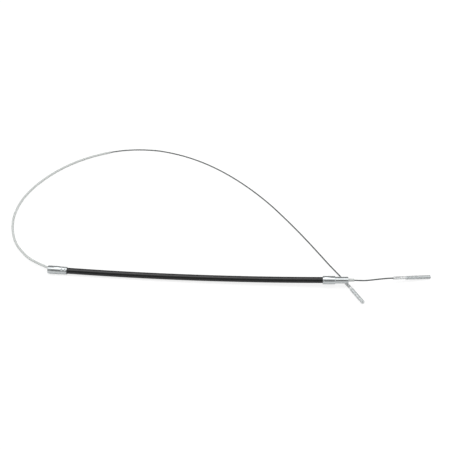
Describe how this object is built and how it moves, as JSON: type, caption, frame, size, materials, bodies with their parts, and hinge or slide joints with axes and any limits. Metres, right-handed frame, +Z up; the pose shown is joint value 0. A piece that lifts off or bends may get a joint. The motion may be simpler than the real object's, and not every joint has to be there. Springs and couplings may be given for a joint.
{
  "type": "clutch cable",
  "caption": "Clutch cable: a short covered conduit with a crimped and a stepped ferrule, and a long sliding steel wire with a threaded stud at each end.",
  "frame": {"origin": "on the table the cable lies on, at the middle of the conduit and the two studs", "axes": "+X runs along the conduit from its pedal end to its lever end, +Y leads back to the open loop of wire, +Z is up"},
  "size_m": [0.6897, 0.3806, 0.0186],
  "materials": {
    "zinc_plated_steel": "bright zinc plate, turned and crimped",
    "black_vinyl": "extruded soft vinyl, semi-gloss",
    "spring_steel": "drawn, oiled",
    "natural_nylon": "extruded, translucent white",
    "steel_rope": "galvanised strand",
    "stud_steel": "zinc-plated, rolled thread and pressed shank"
  },
  "bodies": {
    "conduit": {"pedal_ferrule": "zinc_plated_steel", "jacket": "black_vinyl", "conduit_winding": "spring_steel", "liner": "natural_nylon", "lever_ferrule": "zinc_plated_steel"},
    "wire": {"inner_wire": "steel_rope", "pedal_stud": "stud_steel", "lever_stud": "stud_steel"}
  },
  "joints": [
    {"name": "wire_slide", "type": "slide", "parent": "conduit", "child": "wire", "axis": [-1, 0, 0], "range_m": [0, 0.016]}
  ]
}
